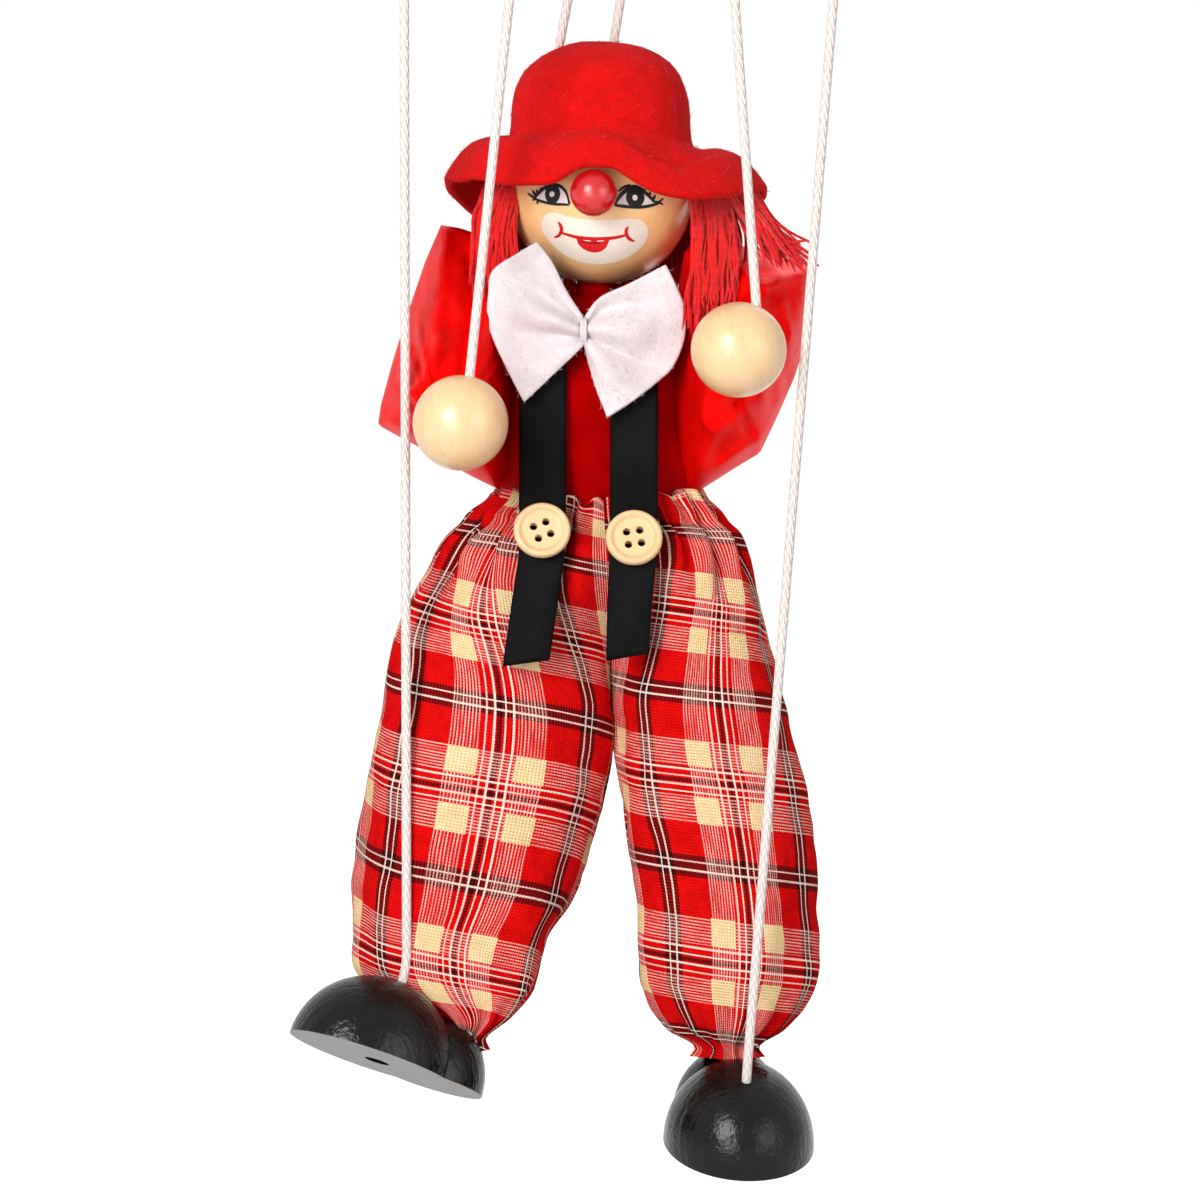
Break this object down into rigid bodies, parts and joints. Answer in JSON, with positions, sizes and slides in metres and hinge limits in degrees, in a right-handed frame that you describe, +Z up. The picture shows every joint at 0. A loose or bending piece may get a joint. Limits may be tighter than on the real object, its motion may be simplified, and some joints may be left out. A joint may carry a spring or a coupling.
{
  "type": "marionette",
  "caption": "Clown marionette with a wooden ball head, felt hat, satin shirt and plaid trousers, hung on cords from a crossed wooden control that moves its hands, feet and head.",
  "frame": {"origin": "middle of the top face of the control's main bar, where the hand grips it", "axes": "+Z up out of the grip face, -Y is the doll's front and the control's front, +X is the doll's left"},
  "size_m": [0.1565, 0.1505, 0.3708],
  "materials": {
    "control_wood": "satin",
    "screw": "brushed",
    "cord": "matt",
    "head_wood": "varnished",
    "nose": "gloss paint",
    "plain_wood": "satin",
    "hat_felt": "fuzzy",
    "wool": "fuzzy",
    "ribbon": "satin",
    "satin": "satin",
    "shoe": "gloss paint",
    "plaid": "woven",
    "elastic": "matt",
    "white_felt": "felt"
  },
  "bodies": {
    "control": {"control_main_bar": "control_wood", "control_cross_bar": "control_wood", "control_screw": "screw"},
    "torso": {"torso_block": "plain_wood", "neck_cord": "cord", "shirt_body": "satin", "waist_elastic": "elastic", "trousers_seat": "plaid", "bow_tie": "white_felt", "bow_tie_band": "white_felt", "suspender_left": "ribbon", "suspender_right": "ribbon", "button_left": "plain_wood", "button_right": "plain_wood", "hand_string_left": "cord", "hand_string_right": "cord", "foot_string_left": "cord", "foot_string_right": "cord", "head_string_left": "cord", "head_string_right": "cord"},
    "head": {"head_ball": "head_wood", "nose_ball": "nose", "nose_peg": "plain_wood", "felt_hat": "hat_felt", "hair_left": "wool", "hair_right": "wool"},
    "upper_arm_left": {"arm_cord_left": "cord", "sleeve_upper_left": "satin"},
    "forearm_left": {"forearm_left": "plain_wood", "hand_left": "plain_wood", "sleeve_lower_left": "satin"},
    "thigh_left": {"thigh_cord_left": "cord", "trouser_leg_upper_left": "plaid"},
    "shin_left": {"shin_left": "plain_wood", "shoe_left": "shoe", "trouser_leg_lower_left": "plaid"},
    "upper_arm_right": {"arm_cord_right": "cord", "sleeve_upper_right": "satin"},
    "forearm_right": {"forearm_right": "plain_wood", "hand_right": "plain_wood", "sleeve_lower_right": "satin"},
    "thigh_right": {"thigh_cord_right": "cord", "trouser_leg_upper_right": "plaid"},
    "shin_right": {"shin_right": "plain_wood", "shoe_right": "shoe", "trouser_leg_lower_right": "plaid"}
  },
  "joints": [
    {"name": "figure_swing", "type": "hinge", "parent": "control", "child": "torso", "pos_m": [0, -0.022, -0.01], "axis": [1, 0, 0], "range_deg": [-15, 15], "deforming": ["head_string_left", "head_string_right", "hand_string_left", "hand_string_right", "foot_string_left", "foot_string_right"]},
    {"name": "head_turn", "type": "hinge", "parent": "torso", "child": "head", "pos_m": [-0.0062, -0.018, -0.1088], "axis": [0, 0, 1], "range_deg": [-25, 25], "deforming": ["head_string_left", "head_string_right", "neck_cord", "hair_left", "hair_right"]},
    {"name": "shoulder_left", "type": "hinge", "parent": "torso", "child": "upper_arm_left", "pos_m": [0.0103, -0.018, -0.1458], "axis": [-1, 0, 0], "range_deg": [0, 25], "deforming": ["arm_cord_left", "sleeve_upper_left", "sleeve_lower_left", "hand_string_left"]},
    {"name": "elbow_left", "type": "hinge", "parent": "upper_arm_left", "child": "forearm_left", "pos_m": [0.0368, -0.024, -0.1478], "axis": [-0.9838, 0.1791, 0], "range_deg": [0, 25], "deforming": ["arm_cord_left", "sleeve_upper_left", "sleeve_lower_left", "hand_string_left"]},
    {"name": "hip_left", "type": "hinge", "parent": "torso", "child": "thigh_left", "pos_m": [0.0033, -0.018, -0.233], "axis": [-1, 0, 0], "range_deg": [0, 50], "deforming": ["thigh_cord_left", "trousers_seat", "trouser_leg_upper_left", "foot_string_left"]},
    {"name": "knee_left", "type": "hinge", "parent": "thigh_left", "child": "shin_left", "pos_m": [0.0178, -0.032, -0.2858], "axis": [1, 0, 0], "range_deg": [0, 60], "deforming": ["thigh_cord_left", "trouser_leg_upper_left", "trouser_leg_lower_left", "foot_string_left"]},
    {"name": "shoulder_right", "type": "hinge", "parent": "torso", "child": "upper_arm_right", "pos_m": [-0.0257, -0.018, -0.1458], "axis": [-1, 0, 0], "range_deg": [0, 25], "deforming": ["arm_cord_right", "sleeve_upper_right", "sleeve_lower_right", "hand_string_right"]},
    {"name": "elbow_right", "type": "hinge", "parent": "upper_arm_right", "child": "forearm_right", "pos_m": [-0.0512, -0.025, -0.1648], "axis": [-0.977, -0.2134, 0], "range_deg": [0, 25], "deforming": ["arm_cord_right", "sleeve_upper_right", "sleeve_lower_right", "hand_string_right"]},
    {"name": "hip_right", "type": "hinge", "parent": "torso", "child": "thigh_right", "pos_m": [-0.0187, -0.018, -0.233], "axis": [-1, 0, 0], "range_deg": [0, 50], "deforming": ["thigh_cord_right", "trousers_seat", "trouser_leg_upper_right", "foot_string_right"]},
    {"name": "knee_right", "type": "hinge", "parent": "thigh_right", "child": "shin_right", "pos_m": [-0.0312, -0.03, -0.2838], "axis": [1, 0, 0], "range_deg": [0, 60], "deforming": ["thigh_cord_right", "trouser_leg_upper_right", "trouser_leg_lower_right", "foot_string_right"]}
  ]
}
